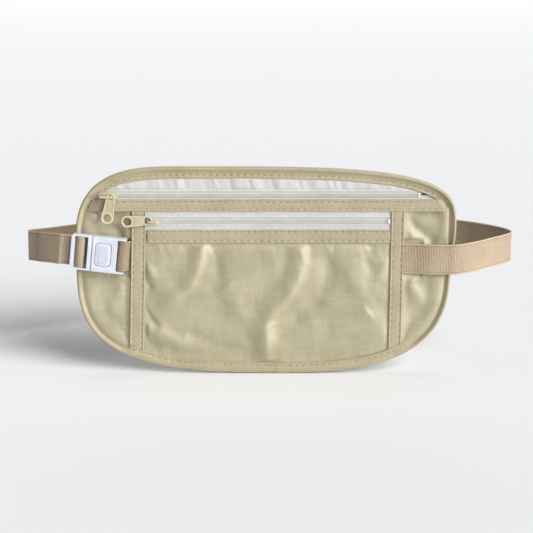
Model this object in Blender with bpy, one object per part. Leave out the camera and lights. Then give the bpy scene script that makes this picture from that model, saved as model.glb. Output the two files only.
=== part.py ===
"""Slim travel money belt: two-zip fabric pouch on an elastic waist strap with a side buckle.

Frame: metres, +Z up, the wearer's side of the pouch is the plane y = 0, the front looks
towards -Y and X runs along the belt. Depths below are measured forward from y = 0.
"""
import math

import bmesh
import bpy
from mathutils import Matrix, Vector

MM = 0.001

# Pouch outline: two rounded shoulders over one deep rounded foot
HALF_WIDTH = 142.0
HALF_HEIGHT = 80.0
CREST_X = -62.0               # highest point of the top edge
LEFT_SHOULDER_Z = 13.3        # where each side starts to round into the top edge
RIGHT_SHOULDER_Z = 30.9
FOOT_X = 11.4                 # lowest point of the bottom edge
FOOT_Z = 4.5                  # where the sides start to round into the bottom
RIGHT_FOOT_X = 139.1          # the right side leans in towards its foot
LEFT_ROUND = 3.03             # superellipse powers: higher is squarer
RIGHT_ROUND = 3.77
LEFT_FOOT_ROUND = 3.13
RIGHT_FOOT_ROUND = 2.79
CORNER_STEPS = 26
SIDE_STEPS = 6

# Layer depths, back to front
FABRIC = 0.6
GAP = 0.3
BACK_PAD = (0.0, 1.5)
BACK_EDGE = (0.9, 1.5)
BODY = (2.7, 3.3)
POCKET = (5.1, 5.7)
FACING = (6.0, 6.6)
TAPE_WALL_FROM = 3.6
BINDING_WIDTH = 8.6
BINDING_DEPTH = 6.6
BINDING_FOLD = 4.2            # where the pinched part of the front leg starts
BINDING_PINCH = 2.4           # the tape folds down where only the body panel is under it

# Heights of the bands on the front
STRIP_1 = (46.6, 55.4)
STRIP_1_STEP = 50.2
STRIP_2 = (22.6, 32.7)
BODY_TOP = 51.2
POCKET_TOP = 28.5
UPPER_ZIP_Z = 58.5
LOWER_ZIP_Z = 39.4
UPPER_TAPE_FOOT = 51.5
LOWER_TAPE_BAND = (28.8, 49.8)
SLIT = 0.5                    # half the gap between the two rows of a zip
COIL_HEIGHT = 1.7
COIL_NOTCH = 0.55
COIL_PITCH = 2.0
UPPER_COIL_END_GAP = (0.5, 2.6)
LOWER_COIL_X = (-88.1, 92.8)
LOWER_TAPE_X = (-92.0, 97.0)
STOP_LENGTH = 1.6

# Stitched side tapes of the front pocket
LEFT_TAPE_TOP = (-99.2, -88.6)
LEFT_TAPE_FOOT = (-103.6, -92.8)
RIGHT_TAPE_TOP = (93.2, 103.0)
RIGHT_TAPE_FOOT = (93.2, 103.0)
TAPE_TOP_Z = 46.2
TAPE_WALL = 1.2
WEB_WINDOW = (-4.0, 26.5)

# Sliders and pull tabs
SLIDER_HALF = 2.9
SPINE_HALF = 0.25
SLIDER_NOSE = 1.6
UPPER_SLIDER_X = (-124.0, -115.3, -110.4)     # nose, start of the spine, heel
UPPER_CROWN_X = (-122.6, -113.2)
LOWER_SLIDER_X = (-88.3, -88.0, -79.2)
LOWER_CROWN_X = (-87.9, -80.6)
CROWN_LEG = 1.1
CROWN_HALF = 0.8
CROWN_ROOF = 0.7
TAB_THICKNESS = 0.9
TAB_LENGTH = 22.4
TAB_HALF_TOP = 3.2
TAB_HALF_END = 4.6
TAB_RIM = 0.9
TAB_HOLE_AT = 17.8
TAB_HOLE_RADIUS = 3.1
UPPER_TAB_AXIS = 10.45
UPPER_TAB_TILT = 11.0
UPPER_TAB_SHORTER = 1.7
UPPER_EYE_CORNER = 1.9
LOWER_EYE_CORNER = 1.2
LOWER_TAB_AXIS = 8.25
LOWER_TAB_PIVOT_X = -84.6
LOWER_TAB_TILT = 3.0
LOWER_TAB_LIFT = 1.0          # the loose tab sits high on its crown

# Looks: colour, roughness, metallic
FINISHES = {
    "khaki_fabric": ((0.52, 0.47, 0.33), 0.62, 0.0),
    "binding_tape": ((0.47, 0.40, 0.26), 0.8, 0.0),
    "zip_tape": ((0.75, 0.73, 0.67), 0.85, 0.0),
    "zip_coil": ((0.78, 0.76, 0.69), 0.5, 0.0),
    "painted_slider": ((0.56, 0.49, 0.33), 0.4, 0.1),
    "white_plastic": ((0.82, 0.84, 0.9), 0.3, 0.0),
    "webbing": ((0.39, 0.3, 0.2), 0.85, 0.0),
}

MADE_OF = {
    "khaki_fabric": ["back_panel", "front_body_panel", "front_pocket_panel"],
    "binding_tape": ["edge_binding", "upper_facing_strip", "lower_facing_strip",
                     "left_side_tape", "right_side_tape"],
    "zip_tape": ["upper_zip_tape_top", "upper_zip_tape_bottom",
                 "lower_zip_tape_top", "lower_zip_tape_bottom"],
    "zip_coil": ["upper_coil_top", "upper_coil_bottom", "lower_coil_top",
                 "lower_coil_bottom", "upper_end_stop", "lower_end_stop"],
    "painted_slider": ["upper_slider_body", "upper_slider_crown", "upper_pull_tab",
                       "lower_slider_body", "lower_slider_crown", "lower_pull_tab"],
    "white_plastic": ["buckle_socket", "buckle_plug", "release_button"],
    "webbing": ["short_webbing", "strap_left", "strap_right"],
}

# Webbing
WEB_HALF = 11.6
WEB_THICKNESS = 1.2
STRAP_Z = 10.2
STRAP_RIGHT_PLAN = [
    (92, -4.2), (104, -4.2), (112, -5.0), (124, -7.5), (134, -7.9), (144.5, -6.9),
    (159, 3), (172, 14.5), (184, 25.5), (190.3, 34.5), (187.5, 45), (179, 55.5),
    (167, 66), (149, 76.5), (100, 92), (50, 100.5), (0.3, 103),
]
STRAP_LEFT_PLAN = [
    (-0.3, 103), (-50, 98.5), (-98, 86), (-137, 67.5), (-161, 53), (-177, 42.5),
    (-183, 32), (-179.5, 19.5), (-171.5, 8), (-162.5, -1.5), (-152, -9.0),
]
TAIL_LENGTH = 26.0
TAIL_OFFSET = 1.5

# Buckle, in its own axes: u along it, v across it, d forward
BUCKLE_X = -123.5
BUCKLE_Z = 15.7
BUCKLE_TILT = math.radians(6.5)
BUCKLE_HALF = 13.4
SEAM_ROUND = 0.3              # corners where plug and socket meet
PLUG_U = (-21.2, -5.5)
PLUG_D = (8.2, 13.4)
PLUG_SLOT_U = (-18.6, -8.8)
PLUG_SLOT_HALF = 12.1
PLUG_OUTER_BAR_D = 10.3
PLUG_BAR = ((-15.6, -12.8), (9.6, 11.4))
TONGUE = ((-7.0, 10.8), 11.0, (8.9, 9.9))
SOCKET_U = (-5.2, 19.5)
SOCKET_D = (7.0, 14.0)
SOCKET_CUT_U = 13.1
SOCKET_BAR = ((15.4, 17.8), (9.6, 11.2))
CAVITY = (11.6, 11.6, (8.6, 12.8))
BUTTON_U = (-2.8, 8.8)
BUTTON_HALF = 8.7
BUTTON_D = (11.1, 13.7)
BUTTON_RADIUS = 3.0
SHORT_WEB_SAG = 1.6
PLUG_WRAP = [
    (-23.7, 9.0), (-20.0, 9.0), (-18.2, 9.4), (-17.1, 10.3), (-16.5, 11.4),
    (-15.6, 12.2), (-14.2, 12.45), (-12.8, 12.2), (-11.8, 11.3), (-11.45, 9.9),
    (-11.9, 8.5), (-13.4, 7.6), (-16.2, 7.5), (-21.2, 7.5),
]
SHORT_WEB = [
    (31.3, 4.2), (24.8, 4.2), (22.0, 5.1), (21.0, 7.9), (19.9, 10.9), (18.5, 12.2),
    (16.6, 12.5), (15.0, 12.1), (14.1, 11.0), (14.05, 9.6), (14.9, 8.4), (16.4, 7.9),
]


def smooth(t):
    """Ease from 0 to 1."""
    t = max(0.0, min(1.0, t))
    return t * t * (3 - 2 * t)


def material(slot):
    """The shared material of one kind of stuff."""
    made = bpy.data.materials.get(slot)
    if made:
        return made
    colour, roughness, metallic = FINISHES[slot]
    made = bpy.data.materials.new(slot)
    made.use_nodes = True
    shader = made.node_tree.nodes["Principled BSDF"]
    shader.inputs["Base Color"].default_value = (*colour, 1.0)
    shader.inputs["Roughness"].default_value = roughness
    shader.inputs["Metallic"].default_value = metallic
    made.diffuse_color = (*colour, 1.0)
    return made


def finish(name, bm):
    """Turn a mesh drawn in millimetres into a named object."""
    bmesh.ops.scale(bm, vec=(MM, MM, MM), verts=bm.verts)
    bmesh.ops.recalc_face_normals(bm, faces=bm.faces)
    mesh = bpy.data.meshes.new(name)
    bm.to_mesh(mesh)
    bm.free()
    obj = bpy.data.objects.new(name, mesh)
    bpy.context.scene.collection.objects.link(obj)
    return obj


def prism(name, loops, low, high, place):
    """Fill a flat region (outer loop first, then holes) and extrude it to a height."""
    bm = bmesh.new()
    for loop in loops:
        corners = [bm.verts.new(place(a, b, low)) for a, b in loop]
        for i, corner in enumerate(corners):
            bm.edges.new((corners[i - 1], corner))
    bmesh.ops.triangle_fill(bm, edges=bm.edges, use_beauty=True)
    grown = bmesh.ops.extrude_face_region(bm, geom=bm.faces[:])
    lifted = [item for item in grown["geom"] if isinstance(item, bmesh.types.BMVert)]
    shift = Vector(place(0, 0, high)) - Vector(place(0, 0, low))
    bmesh.ops.translate(bm, vec=shift, verts=lifted)
    return finish(name, bm)


def loft(name, rings, closed=False):
    """Skin equal rings of points; open lofts get an end face at each end."""
    bm = bmesh.new()
    made = [[bm.verts.new(point) for point in ring] for ring in rings]
    pairs = list(zip(made, made[1:]))
    if closed:
        pairs.append((made[-1], made[0]))
    for here, there in pairs:
        for i in range(len(here)):
            bm.faces.new((here[i - 1], here[i], there[i], there[i - 1]))
    if not closed:
        bm.faces.new(made[0])
        bm.faces.new(made[-1])
    return finish(name, bm)


def combine(target, tool, operation):
    """Boolean the tool into the target and drop the tool."""
    modifier = target.modifiers.new("b", "BOOLEAN")
    modifier.operation = operation
    modifier.solver = "EXACT"
    modifier.object = tool
    graph = bpy.context.evaluated_depsgraph_get()
    mesh = bpy.data.meshes.new_from_object(target.evaluated_get(graph))
    target.modifiers.clear()
    target.data = mesh
    bpy.data.objects.remove(tool)
    bm = bmesh.new()
    bm.from_mesh(mesh)
    bmesh.ops.remove_doubles(bm, verts=bm.verts, dist=1e-7)
    bmesh.ops.triangulate(bm, faces=bm.faces)
    bmesh.ops.recalc_face_normals(bm, faces=bm.faces)
    bm.to_mesh(mesh)
    bm.free()
    return target


def front(x, z, depth):
    """Point on the front of the pouch."""
    return (x, -depth, z)


def on_buckle(u, v, depth):
    """Point in the buckle's axes."""
    c = math.cos(BUCKLE_TILT)
    s = math.sin(BUCKLE_TILT)
    return (BUCKLE_X + u * c + v * s, -depth, BUCKLE_Z - u * s + v * c)


def block(name, us, vs, ds, place):
    """Rectangular block in the given axes."""
    loop = [(us[0], vs[0]), (us[1], vs[0]), (us[1], vs[1]), (us[0], vs[1])]
    return prism(name, [loop], ds[0], ds[1], place)


def rounded(x0, x1, z0, z1, radius, steps=5, right=None):
    """Rounded rectangle loop; right is the radius of the two corners at x1, when different."""
    loop = []
    right = right or radius
    corners = [(x1 - right, z1 - right, 0, right), (x0 + radius, z1 - radius, 90, radius),
               (x0 + radius, z0 + radius, 180, radius), (x1 - right, z0 + right, 270, right)]
    for cx, cz, start, r in corners:
        for i in range(steps + 1):
            t = math.radians(start + 90 * i / steps)
            loop.append((cx + r * math.cos(t), cz + r * math.sin(t)))
    return loop


def rounded_corner(centre, size, power, start):
    """Quarter superellipse, clockwise from the start angle."""
    points = []
    for i in range(CORNER_STEPS + 1):
        t = math.radians(start - 90 * i / CORNER_STEPS)
        c, s = math.cos(t), math.sin(t)
        points.append((centre[0] + size[0] * math.copysign(abs(c) ** (2 / power), c),
                       centre[1] + size[1] * math.copysign(abs(s) ** (2 / power), s)))
    return points


def edge_outline():
    """Pouch outline, clockwise seen from the front."""
    foot_height = HALF_HEIGHT + FOOT_Z
    points = rounded_corner((CREST_X, LEFT_SHOULDER_Z),
                            (HALF_WIDTH + CREST_X, HALF_HEIGHT - LEFT_SHOULDER_Z),
                            LEFT_ROUND, 180)
    points += rounded_corner((CREST_X, RIGHT_SHOULDER_Z),
                             (HALF_WIDTH - CREST_X, HALF_HEIGHT - RIGHT_SHOULDER_Z),
                             RIGHT_ROUND, 90)[1:]
    for i in range(1, SIDE_STEPS):
        t = i / SIDE_STEPS
        points.append((HALF_WIDTH + (RIGHT_FOOT_X - HALF_WIDTH) * smooth(t),
                       RIGHT_SHOULDER_Z + (FOOT_Z - RIGHT_SHOULDER_Z) * t))
    points += rounded_corner((FOOT_X, FOOT_Z), (RIGHT_FOOT_X - FOOT_X, foot_height),
                             RIGHT_FOOT_ROUND, 0)
    points += rounded_corner((FOOT_X, FOOT_Z), (HALF_WIDTH + FOOT_X, foot_height),
                             LEFT_FOOT_ROUND, 270)[1:]
    for i in range(1, SIDE_STEPS):
        points.append((-HALF_WIDTH, FOOT_Z + (LEFT_SHOULDER_Z - FOOT_Z) * i / SIDE_STEPS))
    return points


def inset_outline(inset):
    """Outline moved inward, point for point."""
    base = edge_outline()
    moved = []
    for i, (x, z) in enumerate(base):
        before = base[i - 1]
        after = base[(i + 1) % len(base)]
        dx = after[0] - before[0]
        dz = after[1] - before[1]
        length = math.hypot(dx, dz)
        moved.append((x + inset * dz / length, z - inset * dx / length))
    return moved


def span(x, inset):
    """Lowest and highest outline point above x."""
    loop = inset_outline(inset)
    hits = []
    for i, a in enumerate(loop):
        b = loop[(i + 1) % len(loop)]
        if (a[0] - x) * (b[0] - x) <= 0 and a[0] != b[0]:
            hits.append(a[1] + (b[1] - a[1]) * (x - a[0]) / (b[0] - a[0]))
    return min(hits), max(hits)


def reach(z, inset):
    """Leftmost and rightmost outline point at height z."""
    loop = inset_outline(inset)
    hits = []
    for i, a in enumerate(loop):
        b = loop[(i + 1) % len(loop)]
        if (a[1] - z) * (b[1] - z) <= 0 and a[1] != b[1]:
            hits.append(a[0] + (b[0] - a[0]) * (z - a[1]) / (b[1] - a[1]))
    return min(hits), max(hits)


def clipped(x0, x1, low, high, inset, steps=60):
    """Loop between two heights, kept inside the outline."""
    xs = [x0 + (x1 - x0) * i / steps for i in range(steps + 1)]
    under = []
    over = []
    for x in xs:
        bottom, top = span(x, inset)
        under.append((x, max(low, bottom)))
        over.append((x, min(high, top)))
    return under + list(reversed(over))


def curve(points, spacing):
    """Evenly sampled smooth curve through plan points."""
    path = []
    for i in range(len(points) - 1):
        p0 = Vector(points[max(i - 1, 0)])
        p1 = Vector(points[i])
        p2 = Vector(points[i + 1])
        p3 = Vector(points[min(i + 2, len(points) - 1)])
        count = max(1, round((p2 - p1).length / spacing))
        for k in range(count):
            t = k / count
            path.append(0.5 * (2 * p1 + (p2 - p0) * t + (2 * p0 - 5 * p1 + 4 * p2 - p3) * t * t
                               + (3 * p1 - p0 - 3 * p2 + p3) * t ** 3))
    path.append(Vector(points[-1]))
    return path


def ribbon(name, centres, ups):
    """Webbing swept along a path, flat across its width."""
    rings = []
    last = len(centres) - 1
    for i, (centre, up) in enumerate(zip(centres, ups)):
        tangent = (centres[min(i + 1, last)] - centres[max(i - 1, 0)]).normalized()
        normal = tangent.cross(up).normalized() * WEB_THICKNESS / 2
        side = up.normalized() * WEB_HALF
        rings.append([centre + side + normal, centre + side - normal,
                      centre - side - normal, centre - side + normal])
    return loft(name, rings)


def pouch_panels():
    """Back, body, pocket, bands and edge binding."""
    rim = inset_outline(1.0)
    pad = inset_outline(BINDING_WIDTH + GAP)
    loft("back_panel", [
        [front(x, z, BACK_EDGE[1]) for x, z in rim],
        [front(x, z, BACK_EDGE[0]) for x, z in rim],
        [front(x, z, BACK_EDGE[0]) for x, z in pad],
        [front(x, z, BACK_PAD[0]) for x, z in pad],
    ])
    left, right = -HALF_WIDTH + 3.0, RIGHT_FOOT_X - 1.0
    prism("front_body_panel", [clipped(left, right, -99, BODY_TOP, 2.5)], *BODY, front)
    prism("front_pocket_panel",
          [clipped(LEFT_TAPE_TOP[0] + 2.2, RIGHT_TAPE_TOP[1] - 1.8, -99, POCKET_TOP, 2.5)],
          *POCKET, front)
    loop = []
    outer = edge_outline()
    edges = [inset_outline(w) for w in (0.7, BINDING_FOLD, BINDING_WIDTH)]
    for i in range(len(outer)):
        x, z = outer[i]
        past = max(-101.5 - x, x - 104.5) if z < 0 else 99.0
        pinch = BINDING_PINCH * smooth(past / 14.0)
        back, front_face = 0.0, BINDING_DEPTH
        inside = front_face - FABRIC
        section = [
            (outer[i], back + 0.5), (outer[i], front_face - 0.7), (edges[0][i], front_face),
            (edges[1][i], front_face - pinch), (edges[2][i], front_face - pinch),
            (edges[2][i], inside - pinch), (edges[1][i], inside - pinch),
            (edges[0][i], inside), (edges[0][i], back + FABRIC),
            (edges[2][i], back + FABRIC), (edges[2][i], back), (edges[0][i], back),
        ]
        loop.append([front(p[0], p[1], d) for p, d in section])
    loft("edge_binding", loop, closed=True)

    core, lip = TAPE_WALL_FROM, FACING[0]
    band = [(STRIP_1[0], lip), (STRIP_1[0], FACING[1]), (STRIP_1[1], FACING[1]),
            (STRIP_1[1], core), (STRIP_1_STEP, core), (STRIP_1_STEP, lip)]
    ends = [[front(reach(z, BINDING_WIDTH + 0.5)[side], z, d) for z, d in band]
            for side in (0, 1)]
    loft("upper_facing_strip", ends)
    block("lower_facing_strip", (LEFT_TAPE_TOP[1] + 0.5, RIGHT_TAPE_TOP[0] - GAP), STRIP_2,
          FACING, front)
    side_tape("left_side_tape", LEFT_TAPE_TOP, LEFT_TAPE_FOOT, 0)
    side_tape("right_side_tape", RIGHT_TAPE_TOP, RIGHT_TAPE_FOOT, 1)


def side_tape(name, top, foot, outer):
    """Folded tape down one side of the front pocket, with a window for the webbing."""
    wall = (TAPE_WALL, 0.0) if outer == 0 else (0.0, -TAPE_WALL)
    edge = (top[outer], foot[outer])
    inner = [edge[k] + (TAPE_WALL if outer == 0 else -TAPE_WALL) for k in (0, 1)]
    rings = []
    for k, limits in enumerate((top, foot)):
        far = limits[1 - outer]
        xs = [(edge[k], TAPE_WALL_FROM), (edge[k], FACING[1]), (far, FACING[1]),
              (far, FACING[0]), (inner[k], FACING[0]), (inner[k], TAPE_WALL_FROM)]
        ring = []
        for x, d in xs:
            z = TAPE_TOP_Z if k == 0 else span(x, BINDING_WIDTH + GAP)[0]
            ring.append(front(x, z, d))
        rings.append(ring)
    tape = loft(name, rings)
    xs = (min(top[0], foot[0]) - 2, max(top[1], foot[1]) + 2)
    window = block("window", xs, WEB_WINDOW, (TAPE_WALL_FROM - 1, FACING[0]), front)
    combine(tape, window, "DIFFERENCE")


def coil(name, xs, edge_z, direction, depths):
    """One row of zip teeth: notches face the slit."""
    count = int((xs[1] - xs[0]) / COIL_PITCH)
    pitch = (xs[1] - xs[0]) / count
    inner = []
    for i in range(count):
        x = xs[0] + i * pitch
        lift = edge_z + direction * COIL_NOTCH
        inner += [(x, edge_z), (x + pitch * 0.55, edge_z), (x + pitch * 0.6, lift),
                  (x + pitch * 0.95, lift)]
    far = edge_z + direction * COIL_HEIGHT
    prism(name, [inner + [(xs[1], edge_z), (xs[1], far), (xs[0], far)]], *depths, front)


def zips():
    """Tapes, coils and end stops of both zips."""
    ends = reach(UPPER_ZIP_Z + SLIT + COIL_HEIGHT, BINDING_WIDTH)
    upper_xs = (ends[0] + UPPER_COIL_END_GAP[0], ends[1] - UPPER_COIL_END_GAP[1])
    for tag, z, layer, xs in (("upper", UPPER_ZIP_Z, BODY, upper_xs),
                              ("lower", LOWER_ZIP_Z, POCKET, LOWER_COIL_X)):
        depths = (layer[1] + 0.1, layer[1] + 0.8)
        coil(tag + "_coil_top", xs, z + SLIT, 1, depths)
        coil(tag + "_coil_bottom", xs, z - SLIT, -1, depths)
        stop = (xs[1] + 0.2, xs[1] + 0.2 + STOP_LENGTH)
        top = layer[1] + 1.0 if tag == "upper" else FACING[0] + 1.0
        if tag == "lower":
            stop = (xs[1] - 2.0, xs[1] - 0.4)
            block(tag + "_end_stop", stop, (z - 1.6, z + 1.6), (depths[1] + 0.1, top), front)
        else:
            block(tag + "_end_stop", stop, (z - 1.6, z + 1.6), (layer[1] + 0.1, top), front)
    lows = reach(UPPER_TAPE_FOOT, 2.5)
    highs = reach(UPPER_ZIP_Z + 8, 2.5)
    prism("upper_zip_tape_top",
          [clipped(highs[0], highs[1], UPPER_ZIP_Z + SLIT, 99, 2.5)], *BODY, front)
    prism("upper_zip_tape_bottom",
          [clipped(lows[0] + 3, lows[1] - 3, UPPER_TAPE_FOOT, UPPER_ZIP_Z - SLIT, 2.5)],
          *BODY, front)
    block("lower_zip_tape_top", LOWER_TAPE_X, (LOWER_ZIP_Z + SLIT, LOWER_TAPE_BAND[1]),
          POCKET, front)
    block("lower_zip_tape_bottom", LOWER_TAPE_X, (LOWER_TAPE_BAND[0], LOWER_ZIP_Z - SLIT),
          POCKET, front)


def slider(tag, xs, z, layer, crown_xs, tab_axis):
    """Slider body with a spine in the zip's slit, and the crown that holds the tab."""
    back = (layer[0] - 0.9, layer[0] - 0.3)
    face = (layer[1] + 1.1, layer[1] + 1.7)
    nose, spine_from, heel = xs
    h, s = SLIDER_HALF, SPINE_HALF
    profile = [(-h, back[0]), (-h, back[1]), (-s, back[1]), (-s, face[0]), (-h, face[0]),
               (-h, face[1]), (h, face[1]), (h, face[0]), (s, face[0]), (s, back[1]),
               (h, back[1]), (h, back[0])]
    rings = [[front(x, z + a, d) for a, d in profile] for x in (spine_from, heel)]
    body = loft(tag + "_slider_body", rings)
    if spine_from - nose > 1.0:
        shoulder = (nose + spine_from) / 2
        plan = [(nose, z - SLIDER_NOSE), (nose, z + SLIDER_NOSE), (shoulder, z + h),
                (spine_from + 1.0, z + h), (spine_from + 1.0, z - h), (shoulder, z - h)]
        combine(body, prism("c", [plan], *face, front), "UNION")
    foot = face[1] + 0.05
    under = tab_axis + 0.9
    top = under + CROWN_ROOF
    x0, x1 = crown_xs
    w, cut = CROWN_LEG, 0.5
    arch = [(x0, foot), (x0, top - cut), (x0 + cut, top), (x1 - cut, top), (x1, top - cut),
            (x1, foot), (x1 - w, foot), (x1 - w, under), (x0 + w, under), (x0 + w, foot)]
    rings = [[front(x, z + across, d) for x, d in arch] for across in (-CROWN_HALF, CROWN_HALF)]
    loft(tag + "_slider_crown", rings)


def arc(cx, cy, radius, start, stop, steps):
    """Points along an arc, angles in degrees."""
    points = []
    for i in range(steps + 1):
        t = math.radians(start + (stop - start) * i / steps)
        points.append((cx + radius * math.cos(t), cy + radius * math.sin(t)))
    return points


def pull_tab(name, pivot, depth, direction, eye, corner, shorter=0.0):
    """Flat tapered tab: an eye round the crown and a round hole near its wide end."""
    top, end = eye[0] - TAB_RIM, TAB_LENGTH - shorter
    outer = arc(top + TAB_HALF_TOP, 0, TAB_HALF_TOP, 270, 90, 12)
    outer += arc(end - TAB_HALF_END, 0, TAB_HALF_END, 80, -80, 14)
    half = min(TAB_HALF_TOP - TAB_RIM, (eye[1] - eye[0]) / 2)
    window = rounded(eye[0], eye[1], -half, half, corner, 5)
    hole = arc(TAB_HOLE_AT - shorter, 0, TAB_HOLE_RADIUS, 0, 342, 19)
    c, s = math.cos(math.radians(direction)), math.sin(math.radians(direction))

    def place(a, b, d):
        return front(pivot[0] + a * c - b * s, pivot[1] + a * s + b * c, d)

    prism(name, [outer, window, hole], depth - TAB_THICKNESS / 2,
          depth + TAB_THICKNESS / 2, place)


def buckle():
    """Centre-release buckle: socket on the pouch, plug on the strap, pressed button."""
    half = BUCKLE_HALF
    socket = prism("buckle_socket",
                   [rounded(SOCKET_U[0], SOCKET_U[1], -half, half, SEAM_ROUND, right=1.5)],
                   *SOCKET_D, on_buckle)
    depth, wide, ds = CAVITY
    combine(socket, block("c", (SOCKET_U[0] - 3, depth), (-wide, wide), ds, on_buckle),
            "DIFFERENCE")
    window = rounded(BUTTON_U[0] - GAP, BUTTON_U[1] + GAP, -BUTTON_HALF - GAP,
                     BUTTON_HALF + GAP, BUTTON_RADIUS)
    combine(socket, prism("c", [window], ds[1] - 1, SOCKET_D[1] + 1, on_buckle), "DIFFERENCE")
    combine(socket, block("c", (SOCKET_CUT_U, SOCKET_U[1] + 3), (-PLUG_SLOT_HALF, PLUG_SLOT_HALF),
                          (SOCKET_D[0] - 1, SOCKET_D[1] + 1), on_buckle), "DIFFERENCE")
    combine(socket, block("c", SOCKET_BAR[0], (-half + 0.5, half - 0.5), SOCKET_BAR[1],
                          on_buckle), "UNION")

    slot = [(PLUG_SLOT_U[0], -PLUG_SLOT_HALF), (PLUG_SLOT_U[0], PLUG_SLOT_HALF),
            (PLUG_SLOT_U[1], PLUG_SLOT_HALF), (PLUG_SLOT_U[1], -PLUG_SLOT_HALF)]
    frame = rounded(PLUG_U[0], PLUG_U[1], -half, half, 2.4, right=SEAM_ROUND)
    plug = prism("buckle_plug", [frame, slot], *PLUG_D, on_buckle)
    combine(plug, block("c", (PLUG_U[0] - 2, PLUG_SLOT_U[0] + 1), (-PLUG_SLOT_HALF, PLUG_SLOT_HALF),
                        (PLUG_D[0] - 1, PLUG_OUTER_BAR_D), on_buckle), "DIFFERENCE")
    combine(plug, block("c", PLUG_BAR[0], (-half + 0.5, half - 0.5), PLUG_BAR[1], on_buckle),
            "UNION")
    combine(plug, block("c", TONGUE[0], (-TONGUE[1], TONGUE[1]), TONGUE[2], on_buckle), "UNION")
    prism("release_button", [rounded(BUTTON_U[0], BUTTON_U[1], -BUTTON_HALF, BUTTON_HALF,
                                     BUTTON_RADIUS)], *BUTTON_D, on_buckle)


def webbing():
    """Elastic waist strap and the short webbing that holds the socket."""
    up = Vector((0, 0, 1))
    path = curve([(x, y, STRAP_Z) for x, y in STRAP_RIGHT_PLAN], 5.0)
    ribbon("strap_right", path, [up] * len(path))

    tilted = Vector((math.sin(BUCKLE_TILT), 0, math.cos(BUCKLE_TILT)))
    plan = curve([(x, y, 0.0) for x, y in STRAP_LEFT_PLAN], 5.0)
    joined_z = on_buckle((STRAP_LEFT_PLAN[-1][0] - BUCKLE_X), 0, 0)[2]
    run = [0.0]
    for a, b in zip(plan, plan[1:]):
        run.append(run[-1] + (b - a).length)
    centres = []
    ups = []
    for p, s in zip(plan, run):
        share = smooth(1 - (run[-1] - s) / 75.0)
        centres.append(Vector((p.x, p.y, STRAP_Z + (joined_z - STRAP_Z) * share)))
        ups.append(up.lerp(tilted, share).normalized())
    tail = []
    tail_ups = []
    for i in range(len(centres) - 1, 0, -1):
        if run[-1] - run[i] > TAIL_LENGTH:
            break
        tangent = (centres[i] - centres[i - 1]).normalized()
        tail.append(centres[i] + ups[i].cross(tangent).normalized() * -TAIL_OFFSET)
        tail_ups.append(ups[i])
    wrap = curve([on_buckle(u, 0, d) for u, d in PLUG_WRAP], 0.8)
    centres += wrap + tail
    ups += [tilted] * len(wrap) + tail_ups
    ribbon("strap_left", centres, ups)

    short = curve([on_buckle(u, 0, d) for u, d in SHORT_WEB], 0.8)
    for p in short:
        p.z -= SHORT_WEB_SAG * smooth((p.x - BUCKLE_X - 18.0) / 10.0)
    ribbon("short_webbing", short, [tilted] * len(short))


def hang(bodies):
    """Put each moving group under an empty on its joint's axis, parents first."""
    empties = {}
    for name, (parent, pivot, members) in bodies.items():
        empty = bpy.data.objects.new(name + "_axis", None)
        bpy.context.scene.collection.objects.link(empty)
        spot = Vector(pivot) * MM
        empty.location = spot
        if parent:
            empty.parent = empties[parent]
            empty.location = spot - Vector(bodies[parent][1]) * MM
        empties[name] = empty
        for member in members:
            obj = bpy.data.objects[member]
            obj.data.transform(Matrix.Translation(-spot))
            obj.parent = empty


def main():
    for obj in list(bpy.data.objects):
        bpy.data.objects.remove(obj)
    pouch_panels()
    zips()
    slider("upper", UPPER_SLIDER_X, UPPER_ZIP_Z, BODY, UPPER_CROWN_X, UPPER_TAB_AXIS)
    slider("lower", LOWER_SLIDER_X, LOWER_ZIP_Z, POCKET, LOWER_CROWN_X, LOWER_TAB_AXIS)
    leg = UPPER_CROWN_X[1] - CROWN_LEG / 2
    pull_tab("upper_pull_tab", (leg, UPPER_ZIP_Z), UPPER_TAB_AXIS, -90 - UPPER_TAB_TILT,
             (-2.0, 2.0), UPPER_EYE_CORNER, UPPER_TAB_SHORTER)
    pull_tab("lower_pull_tab", (LOWER_TAB_PIVOT_X, LOWER_ZIP_Z + LOWER_TAB_LIFT), LOWER_TAB_AXIS,
             180 + LOWER_TAB_TILT, (0.45, 5.0), LOWER_EYE_CORNER)
    buckle()
    webbing()
    for slot, names in MADE_OF.items():
        for name in names:
            bpy.data.objects[name].data.materials.append(material(slot))
    hang({
        "upper_slider": (None, (UPPER_SLIDER_X[1], 0, UPPER_ZIP_Z),
                         ["upper_slider_body", "upper_slider_crown"]),
        "upper_pull": ("upper_slider", front(leg, UPPER_ZIP_Z, UPPER_TAB_AXIS),
                       ["upper_pull_tab"]),
        "lower_slider": (None, (LOWER_SLIDER_X[1], 0, LOWER_ZIP_Z),
                         ["lower_slider_body", "lower_slider_crown"]),
        "lower_pull": ("lower_slider", front(LOWER_TAB_PIVOT_X, LOWER_ZIP_Z, LOWER_TAB_AXIS),
                       ["lower_pull_tab"]),
        "plug": (None, on_buckle(0, 0, PLUG_D[0]), ["buckle_plug", "strap_left"]),
        "button": (None, on_buckle(0, 0, BUTTON_D[0]), ["release_button"]),
    })


main()
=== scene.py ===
"""Looks for the travel money belt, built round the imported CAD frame."""

import math

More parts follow.
